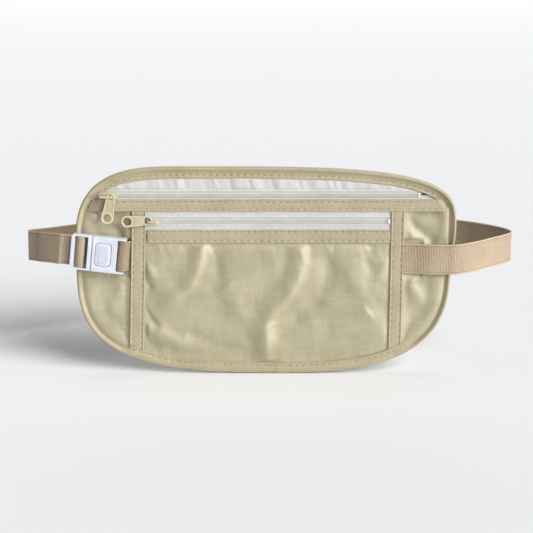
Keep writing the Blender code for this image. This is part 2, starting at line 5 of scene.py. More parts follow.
import bmesh
import bpy
import numpy as np
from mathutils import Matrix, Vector


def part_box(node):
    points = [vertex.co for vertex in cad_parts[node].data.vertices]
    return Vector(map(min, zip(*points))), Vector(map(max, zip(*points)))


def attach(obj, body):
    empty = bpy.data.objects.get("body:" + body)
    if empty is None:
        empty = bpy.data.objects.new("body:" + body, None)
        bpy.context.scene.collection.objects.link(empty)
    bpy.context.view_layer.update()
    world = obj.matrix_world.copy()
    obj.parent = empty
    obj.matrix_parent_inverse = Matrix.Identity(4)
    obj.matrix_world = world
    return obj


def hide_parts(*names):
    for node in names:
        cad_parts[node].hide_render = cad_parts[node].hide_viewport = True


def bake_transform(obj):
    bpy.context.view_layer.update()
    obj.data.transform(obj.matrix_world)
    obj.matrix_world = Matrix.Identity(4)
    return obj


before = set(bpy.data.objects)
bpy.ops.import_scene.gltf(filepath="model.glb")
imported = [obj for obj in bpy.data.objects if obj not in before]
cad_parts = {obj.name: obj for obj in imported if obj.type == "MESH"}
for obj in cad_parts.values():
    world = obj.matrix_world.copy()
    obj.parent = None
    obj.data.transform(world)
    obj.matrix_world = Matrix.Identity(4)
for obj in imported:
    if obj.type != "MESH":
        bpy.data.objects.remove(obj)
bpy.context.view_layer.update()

MM = 0.001
TAU = 2 * math.pi
SHARP = math.radians(32)      # edges over this angle are rounded

# -------- driving sizes, in mm
HALF_WIDTH, HALF_HEIGHT = 142.0, 80.0
CREST_X, LEFT_SHOULDER_Z, RIGHT_SHOULDER_Z = -62.0, 13.3, 30.9
FOOT_X, FOOT_Z, RIGHT_FOOT_X = 11.4, 4.5, 139.1
LEFT_ROUND, RIGHT_ROUND, LEFT_FOOT_ROUND, RIGHT_FOOT_ROUND = 3.03, 3.77, 3.13, 2.79
BODY_D, POCKET_D, FACE_D = 3.3, 5.7, 6.6     # front faces, forward of the wearer's side
OUTLINE_STEP = 1.25
BINDING_WIDTH, BINDING_PINCH, JOIN_X = 8.6, 2.4, 8.0
POCKET_FOOT = (-101.5, 104.5)
STITCH_INSET, BAND_SEAM, STITCH_PITCH = 6.4, 1.6, 5.0
STRIP_1, STRIP_2 = (46.6, 55.4), (22.6, 32.7)
UPPER_ZIP_Z, LOWER_ZIP_Z, ZIP_SLIT, ZIP_CLOTH = 58.5, 39.4, 0.28, 0.45
LEFT_TAPE = ((-99.2, -88.6), (-103.6, -92.8))
RIGHT_TAPE = ((93.2, 103.0), (93.2, 103.0))
TAPE_TOP_Z, TAPE_LENGTH = 46.2, 112.0
WEB_HALF, WEB_THICKNESS = 11.6, 1.2
WEB_EDGE = [       # in from the side, share of the half thickness
    (0.0, 0.0), (0.1, 0.62), (0.5, 0.95), (1.1, 0.9), (1.8, 0.72), (3.6, 0.74), (6.6, 0.74),
    (9.6, 0.74),
]
STRAP_Z = 10.2
STRAP_RIGHT_PLAN = [
    (92, -4.2), (104, -4.2), (112, -5.0), (124, -7.5), (134, -7.9), (144.5, -6.9),
    (159, 3), (172, 14.5), (184, 25.5), (190.3, 34.5), (187.5, 45), (179, 55.5),
    (167, 66), (149, 76.5), (100, 92), (50, 100.5), (0.3, 103),
]
STRAP_LEFT_PLAN = [
    (-0.3, 103), (-50, 98.5), (-98, 86), (-137, 67.5), (-161, 53), (-177, 42.5),
    (-183, 32), (-179.5, 19.5), (-171.5, 8), (-162.5, -1.5), (-152, -9.0),
]
BUCKLE_X, BUCKLE_Z, BUCKLE_TILT = -123.5, 15.7, math.radians(6.5)
PLUG_FACE, SOCKET_FACE, CRISP = -5.5, -5.2, 0.15    # along the buckle; share of the rounding
PAD_WINDOW, PAD_FLAT, PAD_D = (-3.6, 9.6, 9.8), (-1.3, 7.3), 13.7
RIB_PITCH, RIB_REACH = 1.9, (5.2, 7.2)
PLUG_WRAP = [
    (-23.7, 9.0), (-20.0, 9.0), (-18.2, 9.4), (-17.1, 10.3), (-16.5, 11.4),
    (-15.6, 12.2), (-14.2, 12.45), (-12.8, 12.2), (-11.8, 11.3), (-11.45, 9.9),
    (-11.9, 8.5), (-13.4, 7.6), (-16.2, 7.5), (-21.2, 7.5),
]
SHORT_WEB = [
    (31.3, 4.2), (24.8, 4.2), (22.0, 5.1), (21.0, 7.9), (19.9, 10.9), (18.5, 12.2),
    (16.6, 12.5), (15.0, 12.1), (14.1, 11.0), (14.05, 9.6), (14.9, 8.4), (16.4, 7.9),
]
TAIL_LENGTH, TAIL_OFFSET, SHORT_WEB_SAG = 26.0, 1.5, 1.6
TAB_THICKNESS, TAB_RIM, TAB_HALF_TOP, TAB_HALF_END = 0.9, 0.9, 3.2, 4.6
TAB_HOLE_AT, TAB_HOLE_RADIUS = 17.8, 3.1
UPPER_TAB_SHORTER, UPPER_EYE, LOWER_EYE = 1.7, -2.0, 0.45
UPPER_PIVOT, LOWER_PIVOT = (-113.75, UPPER_ZIP_Z), (-84.6, LOWER_ZIP_Z + 1.0)
RIM_INSET, RIM_HALF, RIM_HEIGHT, RIM_SIDES = 0.42, 0.36, 0.28, 8

# -------- studio
FLOOR_COLOUR = (0.765, 0.777, 0.80)
SKY_RISE, SKY_LEVEL = (8.0, 15.0), (0.76, 0.15)     # degrees up: pale horizon, dim above it
LAMPS = (                     # name, degrees right and up, strength, softness, colour
    ("key", (47.0, 35.0), 3.7, 38.0, (1.0, 0.985, 0.955)),
    ("rake", (62.0, 4.0), 2.3, 9.0, (1.0, 0.99, 0.97)),
    ("top", (180.0, 80.0), 0.45, 30.0, (1.0, 1.0, 1.0)),
)
CAMERA_LENS, CAMERA_RISE, CAMERA_DISTANCE = 90.0, 15.0, 1.0
CAMERA_TARGET = (0.0007, -0.004, 0.0039)
PAINT_LEVEL = 0.655           # cloth and trims against the floor under this light


# -------- small tools
def smooth(t):
    t = np.clip(t, 0.0, 1.0)
    return t * t * (3 - 2 * t)


def bump(t):
    """Bell of height 1 and unit width."""
    return np.exp(-t * t)


def lattice(ix, iz, seed):
    value = np.sin(ix * 127.1 + iz * 311.7 + seed * 74.7) * 43758.5453
    return value - np.floor(value)


def soft_noise(x, z, size, seed):
    """Smooth random field from -1 to 1 with features of the given size."""
    u, v = np.asarray(x) / size, np.asarray(z) / size
    iu, iv = np.floor(u), np.floor(v)
    fu, fv = smooth(u - iu), smooth(v - iv)
    low = lattice(iu, iv, seed) * (1 - fu) + lattice(iu + 1, iv, seed) * fu
    high = lattice(iu, iv + 1, seed) * (1 - fu) + lattice(iu + 1, iv + 1, seed) * fu
    return 2 * (low * (1 - fv) + high * fv) - 1


def crease(x, z, path, width, height, lean=0.0):
    """Ridge along a polyline that fades at both ends; lean makes one side steeper."""
    path = np.array(path, float)
    run = run_along(path)
    best = np.full(np.shape(x), 1e9)
    side = np.zeros(np.shape(x))
    along = np.zeros(np.shape(x))
    for (px, pz), (sx, sz), length, before in zip(path, np.diff(path, axis=0), np.diff(run), run):
        t = np.clip(((x - px) * sx + (z - pz) * sz) / length ** 2, 0, 1)
        dx, dz = x - px - sx * t, z - pz - sz * t
        dist = np.hypot(dx, dz)
        closer = dist < best
        best = np.where(closer, dist, best)
        side = np.where(closer, np.sign(dx * sz - dz * sx), side)
        along = np.where(closer, (before + length * t) / run[-1], along)
    fade = smooth(along / 0.12 + 0.25) * smooth((1 - along) / 0.3)
    return height * fade * bump(best / (width * (1 + lean * side)))


def unit(vectors):
    return vectors / np.linalg.norm(vectors, axis=-1, keepdims=True)


def run_along(points):
    """Distance from the first point to each point of a path."""
    steps = np.linalg.norm(np.diff(points, axis=0), axis=1)
    return np.concatenate([[0], np.cumsum(steps)])


def add(name, data):
    obj = bpy.data.objects.new(name, data)
    bpy.context.scene.collection.objects.link(obj)
    return obj


def make(name, points, faces, uv=None):
    """Smooth-shaded object from points in mm, with its faces turned out."""
    mesh = bpy.data.meshes.new(name)
    mesh.from_pydata((np.asarray(points, float) * MM).tolist(), [], faces)
    mesh.validate()
    if uv is not None:
        layer = mesh.uv_layers.new(name="Cloth")
        index = np.zeros(len(mesh.loops), int)
        mesh.loops.foreach_get("vertex_index", index)
        layer.data.foreach_set("uv", np.asarray(uv, np.float32)[index].ravel())
    mesh.shade_smooth()
    bm = bmesh.new()
    bm.from_mesh(mesh)
    bmesh.ops.recalc_face_normals(bm, faces=bm.faces)
    bm.to_mesh(mesh)
    bm.free()
    return add(name, mesh)


def dress(obj, body, slot, mat, *nodes):
    """Material, body and the CAD nodes a piece stands for; the finish slot is not used."""
    obj.data.materials.clear()
    obj.data.materials.append(mat)
    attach(obj, body)
    if nodes:
        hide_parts(*nodes)
    return obj


def ring_quads(a, b, n):
    """Faces that join two rings of n points, which start at a and b."""
    return [(a + k, a + (k + 1) % n, b + (k + 1) % n, b + k) for k in range(n)]


def rings_mesh(name, rings, closed=False, uv=None):
    """Skin an array of rings (ring, point, xyz)."""
    rings = np.asarray(rings, float)
    n, m = rings.shape[:2]
    faces = []
    for r in range(n if closed else n - 1):
        faces += ring_quads(r * m, (r + 1) % n * m, m)
    if not closed:
        faces.append(tuple(range(m)))
        faces.append(tuple(range((n - 1) * m, n * m)))
    return make(name, rings.reshape(-1, 3), faces, uv)


def sheet_mesh(name, front, back):
    """Closed thin sheet from two matching grids of points."""
    n, m = front.shape[:2]
    points = np.concatenate([front.reshape(-1, 3), back.reshape(-1, 3)])
    off = n * m
    faces = []
    for i in range(n - 1):
        for j in range(m - 1):
            a, b, c, d = i * m + j, (i + 1) * m + j, (i + 1) * m + j + 1, i * m + j + 1
            faces.append((a, b, c, d))
            faces.append((off + d, off + c, off + b, off + a))
    grid = np.arange(off).reshape(n, m)
    rim = np.concatenate([grid[:, 0], grid[-1, 1:], grid[-2::-1, -1], grid[0, -2:0:-1]]).tolist()
    faces += [(b, a, off + a, off + b) for a, b in zip(rim, rim[1:] + rim[:1])]
    return make(name, points, faces)


def cloth(name, xs, low, high, rows, depth, thickness=0.5):
    """Sheet over the columns xs, between two heights, at a depth field."""
    low, high, _ = np.broadcast_arrays(low, high, xs)
    t = np.linspace(0, 1, rows + 1)
    x = np.repeat(xs[:, None], rows + 1, 1)
    z = low[:, None] + (high - low)[:, None] * t
    d = depth(x, z)
    return sheet_mesh(name, np.stack([x, -d, z], -1), np.stack([x, -(d - thickness), z], -1))


# -------- outline
def superellipse(cx, cz, a, b, power, start):
    """Quarter of a superellipse, clockwise from the start angle."""
    t = np.radians(start - np.linspace(0, 90, 161))
    c, s = np.cos(t), np.sin(t)
    return np.stack([cx + a * np.sign(c) * np.abs(c) ** (2 / power),
                     cz + b * np.sign(s) * np.abs(s) ** (2 / power)], -1)


def build_outline():
    """Evenly spaced points round the pouch, the way in at each, and the run up to it."""
    deep = HALF_HEIGHT + FOOT_Z
    t = np.linspace(0, 1, 12)[1:-1]
    right = np.stack([HALF_WIDTH + (RIGHT_FOOT_X - HALF_WIDTH) * smooth(t),
                      RIGHT_SHOULDER_Z + (FOOT_Z - RIGHT_SHOULDER_Z) * t], -1)
    left = np.stack([np.full(10, -HALF_WIDTH), FOOT_Z + (LEFT_SHOULDER_Z - FOOT_Z) * t], -1)
    raw = np.concatenate([
        superellipse(CREST_X, LEFT_SHOULDER_Z, HALF_WIDTH + CREST_X,
                     HALF_HEIGHT - LEFT_SHOULDER_Z, LEFT_ROUND, 180),
        superellipse(CREST_X, RIGHT_SHOULDER_Z, HALF_WIDTH - CREST_X,
                     HALF_HEIGHT - RIGHT_SHOULDER_Z, RIGHT_ROUND, 90)[1:],
        right,
        superellipse(FOOT_X, FOOT_Z, RIGHT_FOOT_X - FOOT_X, deep, RIGHT_FOOT_ROUND, 0),
        superellipse(FOOT_X, FOOT_Z, HALF_WIDTH + FOOT_X, deep, LEFT_FOOT_ROUND, 270)[1:],
        left])
    closed = np.concatenate([raw, raw[:1]])
    run = run_along(closed)
    count = int(run[-1] / OUTLINE_STEP)
    s = np.arange(count) * run[-1] / count
    points = np.stack([np.interp(s, run, closed[:, k]) for k in (0, 1)], -1)
    tangent = unit(np.roll(points, -3, 0) - np.roll(points, 3, 0))
    inward = np.stack([tangent[:, 1], -tangent[:, 0]], -1)
    return points, inward, s


EDGE, INWARD, EDGE_RUN = build_outline()


def inset(w):
    return EDGE + INWARD * w


def crossing(value, w, axis):
    """Where the inset outline meets the line on which one axis has this value."""
    loop = inset(w)
    value = np.clip(value, loop[:, axis].min() + 0.05, loop[:, axis].max() - 0.05)
    a, b = loop, np.roll(loop, -1, 0)
    hit = (a[:, axis] - value) * (b[:, axis] - value) <= 0
    hit &= a[:, axis] != b[:, axis]
    t = (value - a[hit, axis]) / (b[hit, axis] - a[hit, axis])
    other = a[hit, 1 - axis] + (b[hit, 1 - axis] - a[hit, 1 - axis]) * t
    return other.min(), other.max()


def span(x, w):
    """Lowest and highest z at x, a width w in from the edge."""
    return crossing(x, w, 0)


def reach(z, w):
    """Leftmost and rightmost x at z, a width w in from the edge."""
    return crossing(z, w, 1)


def edge_gap(x, z):
    """Distance in from the outline at each point."""
    step = EDGE[::2]
    out = np.empty(np.shape(x))
    for i, (row_x, row_z) in enumerate(zip(x, z)):
        out[i] = np.sqrt(((row_x[:, None] - step[:, 0]) ** 2
                          + (row_z[:, None] - step[:, 1]) ** 2).min(1))
    return out


def spans(xs, w):
    return np.array([span(x, w) for x in xs]).T


# -------- materials
class Graph:
    """Short-hand for building a material's nodes."""

    def __init__(self, name, colour, roughness, sheen=0.0, coat=0.0):
        self.mat = bpy.data.materials.new(name)
        self.mat.use_nodes = True
        self.tree = self.mat.node_tree
        self.shader = self.tree.nodes["Principled BSDF"]
        self.set("Base Color", (*colour, 1.0))
        self.set("Roughness", roughness)
        self.set("Sheen Weight", sheen)
        self.set("Sheen Roughness", 0.45)
        self.set("Coat Weight", coat)
        self.set("Coat Roughness", 0.15)

    def set(self, socket, value):
        self.shader.inputs[socket].default_value = value

    def node(self, kind, **settings):
        made = self.tree.nodes.new(kind)
        for key, value in settings.items():
            setattr(made, key, value)
        return made

    def link(self, source, target):
        self.tree.links.new(source, target)

    def math(self, operation, a, b=None, c=None):
        made = self.node("ShaderNodeMath", operation=operation)
        for i, value in enumerate((a, b, c)):
            if value is None:
                continue
            if isinstance(value, (int, float)):
                made.inputs[i].default_value = value
            else:
                self.link(value, made.inputs[i])
        return made.outputs[0]

    def axes(self, uv=False):
        """Millimetre coordinates: the piece's own X, Y, Z, or along and across its UVs."""
        coords = self.node("ShaderNodeTexCoord")
        split = self.node("ShaderNodeSeparateXYZ")
        self.link(coords.outputs["UV" if uv else "Object"], split.inputs[0])
        scale = 1.0 if uv else 1000.0
        return [self.math("MULTIPLY", split.outputs[i], scale) for i in range(3)]

    def wave(self, coordinate, pitch, phase=0.0):
        return self.math("SINE", self.math("MULTIPLY_ADD", coordinate, TAU / pitch, phase))

    def noise(self, size, detail=3.0, uv=False, stretch=None):
        coords = self.node("ShaderNodeTexCoord")
        texture = self.node("ShaderNodeTexNoise")
        source = coords.outputs["UV" if uv else "Object"]
        if stretch:
            mapping = self.node("ShaderNodeMapping")
            mapping.inputs["Scale"].default_value = stretch
            self.link(source, mapping.inputs[0])
            source = mapping.outputs[0]
        self.link(source, texture.inputs["Vector"])
        texture.inputs["Scale"].default_value = (1.0 if uv else 1000.0) / size
        texture.inputs["Detail"].default_value = detail
        return texture.outputs["Fac"]

    def ramp(self, value, stops):
        made = self.node("ShaderNodeValToRGB")
        elements = made.color_ramp.elements
        while len(elements) < len(stops):
            elements.new(0.5)
        for element, (place, colour) in zip(elements, stops):
            element.position = place
            element.color = (*colour, 1.0)
        self.link(value, made.inputs[0])
        return made.outputs[0]

    def mix(self, share, a, b):
        made = self.node("ShaderNodeMix", data_type="RGBA")
        for socket, value in ((made.inputs[0], share), (made.inputs[6], a), (made.inputs[7], b)):
            if isinstance(value, (int, float)):
                socket.default_value = value
            elif isinstance(value, tuple):
                socket.default_value = (*value, 1.0)
            else:
                self.link(value, socket)
        return made.outputs[2]

    def vary(self, base, source, amount):
        """Add a 0 to 1 field to a value, centred on nothing added."""
        return self.math("ADD", base, self.math("MULTIPLY_ADD", source, amount, -amount / 2))

    def colour(self, source):
        self.link(source, self.shader.inputs["Base Color"])

    def roughness(self, source, low, high):
        made = self.node("ShaderNodeMapRange")
        made.inputs["To Min"].default_value = low
        made.inputs["To Max"].default_value = high
        self.link(source, made.inputs["Value"])
        self.link(made.outputs[0], self.shader.inputs["Roughness"])

    def bump(self, *layers):
        """Chain of (height source, strength, distance in mm)."""
        normal = None
        for height, strength, distance in layers:
            made = self.node("ShaderNodeBump")
            made.inputs["Strength"].default_value = strength
            made.inputs["Distance"].default_value = distance * MM
            self.link(height, made.inputs["Height"])
            if normal is not None:
                self.link(normal, made.inputs["Normal"])
            normal = made.outputs[0]
        self.link(normal, self.shader.inputs["Normal"])


def srgb(r, g, b):
    return tuple(PAINT_LEVEL * ((c / 255 + 0.055) / 1.055) ** 2.4 for c in (r, g, b))


def woven(name, light, dark, pitch, roughness, sheen, grid=None, gloss=0.0):
    """Plain weave in the pouch's plane, with an optional heavier grid and slow mottling."""
    g = Graph(name, light, roughness, sheen=sheen, coat=gloss)
    x, _, z = g.axes()
    weave = g.math("MULTIPLY", g.wave(x, pitch), g.wave(z, pitch))
    slub = g.mix(0.5, g.noise(2.2, stretch=(1.0, 1.0, 0.12)),
                 g.noise(2.2, stretch=(0.12, 1.0, 1.0)))
    mottle = g.noise(26.0, 4.0)
    shade = g.math("MULTIPLY_ADD", weave, 0.16, 0.5)
    shade = g.vary(shade, slub, 1.5)
    if grid:
        lines = g.math("MAXIMUM", g.wave(x, grid), g.wave(z, grid))
        lines = g.math("POWER", g.math("MAXIMUM", lines, 0.0), 8.0)
        shade = g.math("MULTIPLY_ADD", lines, 0.28, shade)
    tone = g.mix(shade, dark, light)
    g.colour(g.mix(0.35, tone, g.ramp(mottle, [(0.3, dark), (0.7, light)])))
    g.roughness(slub, roughness - 0.1, roughness + 0.1)
    g.bump((weave, 0.35, pitch * 0.25), (slub, 0.25, 0.15))
    return g.mat


def webbing(name, light, dark):
    """Elastic webbing: cross ribs, long warp lines and firm selvedges, laid out by UV in mm; a
    painted highlight lightens the rolled edges and painted shade darkens the groove just inside
    them.
    """
    g = Graph(name, light, 0.78, sheen=0.12)
    along, across, _ = g.axes(uv=True)
    ribs = g.wave(along, 1.15)
    warp = g.wave(across, 0.95)
    cross = g.math("MULTIPLY", ribs, warp)
    edge = g.math("ABSOLUTE", across)
    # painted highlight along the rolled edge, and painted shade in the groove just inside it
    selvedge = g.math("COMPARE", edge, WEB_HALF - 0.6, 0.45)
    groove = g.math("COMPARE", edge, WEB_HALF - 1.6, 0.3)
    fibre = g.noise(1.4, uv=True)
    wash = g.noise(24.0, 2.0, uv=True)
    shade = g.math("MULTIPLY_ADD", cross, 0.16, 0.5)
    shade = g.vary(g.vary(shade, fibre, 0.9), wash, 0.5)
    # the painted highlight and painted shade go into the colour here
    shade = g.math("MULTIPLY_ADD", selvedge, 0.3, shade)
    shade = g.math("MULTIPLY_ADD", groove, -0.3, shade)
    g.colour(g.mix(shade, dark, light))
    g.roughness(fibre, 0.62, 0.85)
    g.bump((ribs, 0.5, 0.25), (cross, 0.4, 0.2), (fibre, 0.35, 0.2))
    return g.mat


def moulded(name, colour, roughness, grain, coat=0.0, edge_highlight=None):
    """Moulded plastic or painted metal with faint grain and handling marks, and an optional
    painted highlight that lightens its sharp convex edges.
    """
    g = Graph(name, colour, roughness, coat=coat)
    fine = g.noise(grain, 2.0)
    marks = g.noise(9.0, 5.0)
    lighter = tuple(min(1.0, c * 1.05) for c in colour)
    darker = tuple(c * 0.93 for c in colour)
    tone = g.ramp(marks, [(0.35, darker), (0.65, lighter)])
    # painted highlight: convex edges, found by pointiness, are mixed towards a lighter colour
    if edge_highlight:
        geometry = g.node("ShaderNodeNewGeometry")
        edge_lit = g.ramp(geometry.outputs["Pointiness"], [(0.5, (0, 0, 0)), (0.6, (1, 1, 1))])
        tone = g.mix(g.math("MULTIPLY", edge_lit, 0.35), tone, edge_highlight)
    g.colour(tone)
    g.roughness(marks, max(0.05, roughness - 0.08), roughness + 0.1)
    g.bump((fine, 0.12, 0.05), (marks, 0.08, 0.2))
    return g.mat


KHAKI = woven("khaki_weave", srgb(205, 197, 165), srgb(166, 156, 121), 0.62, 0.36, 0.2, 1.05,
              0.1)
KHAKI.node_tree.nodes["Principled BSDF"].inputs["Specular IOR Level"].default_value = 0.8
BACKING = woven("khaki_back", srgb(214, 204, 170), srgb(170, 158, 122), 0.62, 0.6, 0.3, 1.05)
BINDING = woven("binding_weave", srgb(208, 196, 164), srgb(168, 154, 120), 0.55, 0.7, 0.35)
TAPE = woven("tape_weave", srgb(208, 196, 166), srgb(168, 154, 124), 0.5, 0.7, 0.35)
ZIP_TAPE = woven("zip_tape_weave", srgb(230, 230, 228), srgb(206, 206, 203), 0.6, 0.8, 0.3)
COIL = moulded("nylon_coil", srgb(252, 250, 240), 0.4, 0.4)
THREAD = moulded("thread", srgb(212, 199, 166), 0.7, 0.3)
# dark blobs at the needle holes: painted shade for the holes' recess
HOLE = moulded("needle_hole_shade", srgb(132, 112, 74), 0.9, 0.4)
# slider paint, with a painted highlight on its sharp edges
PAINT = moulded("slider_paint", srgb(206, 190, 158), 0.28, 0.8, coat=0.5,
                edge_highlight=srgb(238, 230, 206))
# lighter copy of the slider paint for the raised tab rims: a painted highlight
RIM = moulded("slider_paint_rim_highlight", srgb(238, 227, 198), 0.28, 0.8, coat=0.5)
WHITE = moulded("white_acetal", srgb(232, 236, 252), 0.32, 1.2, coat=0.15)
WEBBING = webbing("elastic_webbing", srgb(226, 206, 180), srgb(154, 128, 96))
# darker copy of the same webbing for the short piece at the buckle: painted shade, as that piece
# is lit less
SHADED_WEBBING = webbing("elastic_webbing_painted_shade", srgb(190, 170, 145), srgb(128, 108, 84))


# -------- binding
def binding_pinch(x, z):
    """How much thinner the binding is where it doesn't hold the pocket's foot."""
    past = np.where(z < 0, np.maximum(POCKET_FOOT[0] - x, x - POCKET_FOOT[1]), np.inf)
    return BINDING_PINCH * smooth(past / 14.0)


def binding_join(x, z):
    """Step at the foot, where the binding's two ends overlap."""
    return bump((x - JOIN_X) / 5.0) * (z < 0) * (x > JOIN_X)


PINCH = binding_pinch(*EDGE.T)
JOIN = binding_join(*EDGE.T)


def leg_depth(w, pinch):
    """Front face of the binding at distance w in from its edge."""
    return FACE_D - pinch * smooth((w - 1.0) / 3.4)


def edge_binding():
    """Folded tape as a section of (in from the edge, depth), dimpled by its stitches."""
    pull = np.cos(TAU * EDGE_RUN / STITCH_PITCH)
    slow = soft_noise(EDGE_RUN, 0 * EDGE_RUN, 22.0, 3)
    fine = soft_noise(EDGE_RUN, 0 * EDGE_RUN, 7.0, 5)
    front = [(0.02, 3.3), (0.06, 4.5), (0.3, 5.4), (0.8, 6.05), (1.6, 6.45), (2.6, 0), (3.6, 0),
             (4.6, 0), (5.4, 0), (6.0, 0), (6.4, 0), (6.8, 0), (7.4, 0), (8.1, 0), (8.6, 0)]
    under = [(8.7, -0.35), (8.5, -0.66), (6.4, -0.66), (4.0, -0.66)]
    rear = [(1.0, 5.5), (0.75, 3.3), (1.0, 0.9), (4.0, 0.62), (8.4, 0.62), (8.65, 0.32),
            (8.45, 0.0), (6.9, 0.02), (6.4, 0.12), (5.9, 0.02), (3.5, -0.02), (1.8, 0.02),
            (0.85, 0.25), (0.3, 0.85), (0.06, 1.9)]
    columns = []
    for k, (w, d) in enumerate(front + under + rear):
        width = w + (0.25 * slow + 0.12 * fine) * smooth((w - 2) / 5)
        if k < len(front) and w > 2:
            d = leg_depth(w, PINCH) + 0.12 * slow + JOIN * 0.3
            d = d - (0.32 + 0.1 * pull) * bump((w - STITCH_INSET) / 0.75)
            d = d + (0.14 * pull * np.roll(fine, 4) + 0.1 * fine) * smooth((w - 2) / 3)
            d = d + 0.18 * bump((w - 4.4) / 1.3)
        elif len(front) <= k < len(front) + len(under):
            d = leg_depth(w, PINCH) + d
        else:
            d = np.full(len(EDGE), float(d))
        p = EDGE + INWARD * (width - 0.2 * JOIN)[:, None]
        columns.append(np.stack([p[:, 0], -d, p[:, 1]], -1))
    obj = rings_mesh("bound_edge", np.stack(columns, 1), closed=True)
    return dress(obj, "pouch", "binding_tape", BINDING, "edge_binding")


# -------- panels
# Folds: height, or depth below zero, then width, path of (x, z) and any lean.
POCKET_FOLDS = (
    # two long folds fall from the strip and swing towards the left
    (2.6, 5.6, [(-47, 25), (-49, 8), (-56, -9), (-68, -20), (-84, -30)], 0.35),
    (2.7, 6.8, [(27, 25), (27, 8), (23, -6), (16, -18), (6, -29), (0, -42), (1, -84)], 0.35),
    (1.6, 9.0, [(-1, -38), (2, -54), (3, -86)]),
    # valleys beside them
    (-1.5, 5.5, [(-36, 23), (-35, 8), (-37, -5), (-45, -17)]),
    (-1.4, 6.5, [(46, 16), (47, 0), (43, -15), (33, -28), (19, -40), (15, -54)]),
    (-0.7, 4.5, [(17, 20), (15, 6), (9, -8)]),
    # short folds at the side tapes and above the bottom seam
    (1.5, 3.4, [(-95, 9), (-86, 1), (-84, -8)]),
    (-1.3, 2.8, [(-95, -2), (-90, -9), (-84, -14)]),
    (-1.9, 3.6, [(-95, -27), (-88, -36), (-78, -45)], 0.3),
    (1.4, 5.5, [(-94, -40), (-82, -47), (-66, -56), (-50, -60)]),
    (-1.1, 5.0, [(-60, -47), (-40, -56), (-16, -62)]),
    (1.2, 8.0, [(-30, -8), (-22, -20), (-24, -38)]),
    (1.0, 8.0, [(62, 22), (64, 6), (70, -8), (68, -24)]),
    (-1.0, 4.5, [(80, 22), (76, 8), (82, -4)]),
    (0.9, 3.6, [(99, 14), (88, 4), (84, -10)]),
    (-0.6, 5.0, [(99, -18), (90, -26), (76, -30)]),
    (1.2, 7.0, [(80, -30), (62, -42), (44, -50)]),
)
POCKET_SLACK = 0.95            # share of those folds that the pocket keeps
BODY_FOLDS = (
    (-1.6, 4.4, [(104, 43), (112, 33), (124, 24), (132, 20)]),
    (1.4, 5.0, [(104, 30), (112, 25), (120, 14)]),
    (1.6, 6.0, [(106, -8), (114, -18), (116, -30)]),
    (1.4, 5.0, [(-106, -10), (-114, -24), (-118, -38)]),
    (-1.3, 4.0, [(-104, 27), (-112, 33), (-126, 35)]),
)
BACK_FOLDS = (
    (-0.7, 9.0, [(-70, 50), (-30, 20), (10, 12)]),
    (-0.6, 8.0, [(80, 40), (60, 0), (66, -34)]),
)


def pocket_depth(x, z):
    """Front pocket: pinned along its seams, soft folds between."""
    gap = edge_gap(x, z) - BINDING_WIDTH
    inside = smooth((x + 97) / 20) * smooth((101 - x) / 20) * smooth(gap / 16)
    inside = inside * smooth((24.5 - z) / 10)
    d = POCKET_D - 0.2 + 1.6 * inside
    for height, width, path, *lean in POCKET_FOLDS:
        d = d + crease(x, z, path, width, height, *lean)
    # puckers hanging from the strip's lower seam
    hang = bump((z - 23) / 9.0) + 0.5 * bump((z - 12) / 8.0)
    pucker = soft_noise(x, 0.25 * z, 6.5, 11) + 0.5 * soft_noise(x + 0.4 * z, 0 * z, 3.6, 12)
    d = d + 0.45 * hang * pucker * smooth((x + 95) / 8) * smooth((99 - x) / 8)
    d = d + 0.4 * bump(gap / 8.0) * soft_noise(x, 0.3 * z, 6.0, 13)
    side = bump((x + 90) / 7.0) + bump((x - 95) / 7.0)
    d = d + 0.45 * side * soft_noise(0.3 * x, z, 7.0, 14)
    slant = soft_noise(x + 0.6 * z, 0.35 * z, 12.0, 15) + 0.6 * soft_noise(x, z, 16.0, 16)
    d = d + 0.4 * inside * slant + 0.12 * soft_noise(x, z, 5.5, 17) * smooth(inside * 3)
    d = np.maximum(d, POCKET_D - 0.5)
    pinned = smooth(gap / 3.0) * smooth((22.4 - z) / 3.0)
    pinned = pinned * smooth((x + 91.0) / 3.0) * smooth((92.8 - x) / 3.0)
    return POCKET_D + 0.05 + POCKET_SLACK * (d - POCKET_D - 0.05) * pinned


def body_depth(x, z):
    """Pouch body: seen at both sides of the pocket, pulled forward where it is sewn."""
    gap = edge_gap(x, z) - BINDING_WIDTH
    side = np.abs(x)
    outer = smooth((side - 104) / 6) * smooth(gap / 6) * smooth((46 - z) / 8)
    d = BODY_D + 0.15 + outer * (0.9 + 0.5 * soft_noise(x, z, 12.0, 21)
                                 + 0.2 * soft_noise(x, z, 5.0, 22))
    sewn = np.maximum(bump((side - 102) / 5.0), bump(gap / 5.0)) * (side > 80)
    d = d + 2.1 * sewn * smooth((51 - z) / 4)
    for height, width, path, *lean in BODY_FOLDS:
        d = d + outer * crease(x, z, path, width, height, *lean)
    under_web = smooth((z + 5.0) / 1.5) * smooth((26.0 - z) / 1.5)
    limit = 5.8 - under_web * (5.8 - np.where(side > 118, 4.6, 3.45))
    return np.minimum(d, limit)


def back_depth(x, z):
    """Back cloth: slack in the middle, flat at the binding."""
    edge = np.array([span(v, BINDING_WIDTH) for v in x[:, 0]])
    t = smooth((z - edge[:, :1]) / 14) * smooth((edge[:, 1:] - z) / 14)
    t = t * smooth((132 - np.abs(x)) / 14)
    d = 0.7 - t * (0.9 + 0.5 * soft_noise(x, z, 38.0, 31) + 0.25 * soft_noise(x, z, 12.0, 32))
    for height, width, path, *lean in BACK_FOLDS:
        d = d + t * crease(x, z, path, width, height, *lean)
    return d


